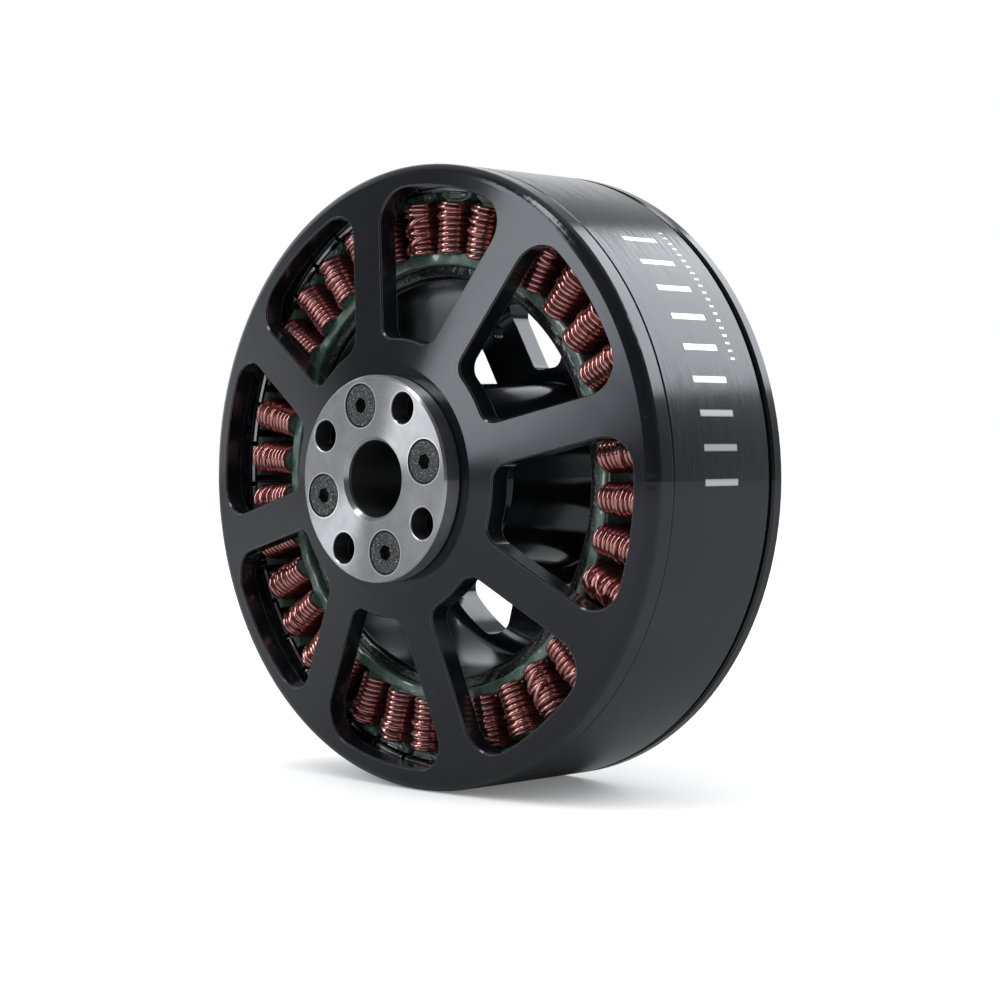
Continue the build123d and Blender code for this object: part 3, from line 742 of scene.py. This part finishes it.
def make_floor():
    """Plain floor that the motor's rim stands on: white to the camera, duller in the motor's reflections."""
    mesh = bpy.data.meshes.new("floor")
    corners = [(x * floor_half_size, y * floor_half_size, -rim_r)
               for x, y in ((-1, -1), (1, -1), (1, 1), (-1, 1))]
    mesh.from_pydata(corners, [], [(0, 1, 2, 3)])
    floor = bpy.data.objects.new("floor", mesh)
    bpy.context.scene.collection.objects.link(floor)
    paint = bpy.data.materials.new("floor_white")
    paint.use_nodes = True
    tree = paint.node_tree
    tree.nodes.clear()
    path = add(tree, "ShaderNodeLightPath")
    colour = blend(tree, path.outputs["Is Glossy Ray"], (0.53, 0.53, 0.53), (0.40, 0.40, 0.40))
    colour = blend(tree, path.outputs["Is Camera Ray"], colour, (1.0, 1.0, 1.0))
    lit = add(tree, "ShaderNodeBsdfDiffuse", {"Color": colour})
    glow = add(tree, "ShaderNodeEmission", {"Color": (1.0, 1.0, 1.0, 1.0)})
    lift = calc(tree, "MULTIPLY", path.outputs["Is Camera Ray"], 0.15)
    mixed = add(tree, "ShaderNodeMixShader", {0: lift, 1: lit.outputs[0], 2: glow.outputs[0]})
    out = add(tree, "ShaderNodeOutputMaterial")
    tree.links.new(mixed.outputs[0], out.inputs[0])
    mesh.materials.append(paint)


def make_softbox(name, direction, width, height, radiance):
    """Rectangular soft light in a direction from the motor, facing it."""
    lamp = bpy.data.lights.new(name, "AREA")
    lamp.shape = "RECTANGLE"
    lamp.size, lamp.size_y = width, height
    lamp.energy = radiance * math.pi * width * height
    lamp.color = sky_tint[:3]
    holder = bpy.data.objects.new(name, lamp)
    away = Vector(direction).normalized()
    holder.location = away * softbox_distance
    holder.rotation_euler = away.to_track_quat("Z", "Y").to_euler()
    bpy.context.scene.collection.objects.link(holder)


def make_world():
    """White to the camera and matte surfaces; reflections see a backdrop behind and a dark room in front."""
    world = bpy.data.worlds.new("studio")
    bpy.context.scene.world = world
    world.use_nodes = True
    tree = world.node_tree
    tree.nodes.clear()
    way = add(tree, "ShaderNodeTexCoord").outputs["Generated"]
    height = add(tree, "ShaderNodeSeparateXYZ", {0: way}).outputs[2]
    facing = away_from_room(tree, way)
    backdrop = ramp(tree, height, 0.47, 0.62, 1.1, 0.40)
    room = ramp(tree, facing, 0.0, 0.5, 0.18, 0.08)
    share = ramp(tree, facing, -0.17, -0.38)
    mirrored = add(tree, "ShaderNodeMix", {0: share, 2: room, 3: backdrop}, data_type="FLOAT").outputs[0]
    path = add(tree, "ShaderNodeLightPath")
    strength = add(tree, "ShaderNodeMix", {0: path.outputs["Is Glossy Ray"], 2: 1.05, 3: mirrored},
                   data_type="FLOAT").outputs[0]
    shader = add(tree, "ShaderNodeBackground", {"Color": sky_tint, "Strength": strength})
    out = add(tree, "ShaderNodeOutputWorld")
    tree.links.new(shader.outputs[0], out.inputs[0])


def make_camera():
    """Camera at the motor's three-quarter front view."""
    data = bpy.data.cameras.new("camera")
    data.lens = camera_lens
    data.sensor_width = 36.0
    holder = bpy.data.objects.new("camera", data)
    holder.location = camera_place
    holder.rotation_euler = camera_turn
    bpy.context.scene.collection.objects.link(holder)
    bpy.context.scene.camera = holder


def make_studio():
    """Floor, lights, world and camera."""
    make_floor()
    make_softbox("softbox_back", (0.255, 0.784, 0.566), width=0.89, height=0.46, radiance=4.4)
    make_softbox("softbox_front", (-0.418, -0.813, 0.400), width=0.31, height=0.77, radiance=4.6)
    make_softbox("softbox_top", (-0.086, -0.40, 0.913), width=0.20, height=0.60, radiance=8.0)
    make_world()
    make_camera()
    bpy.context.scene.view_settings.view_transform = "Standard"
    bpy.context.scene.view_settings.look = "None"


# ---------------------------------------------------------------- build
slot_materials = make_slot_materials()
for subpart in frame["record"]["subparts"]:
    mesh = nodes[subpart["node"]].data
    mesh.materials.clear()
    mesh.materials.append(slot_materials[subpart["material_slot"]])
make_winding()
make_coil_cores()
make_stator_coat()
make_tip_edges()
make_glue_bead()
make_threads()
make_studio()
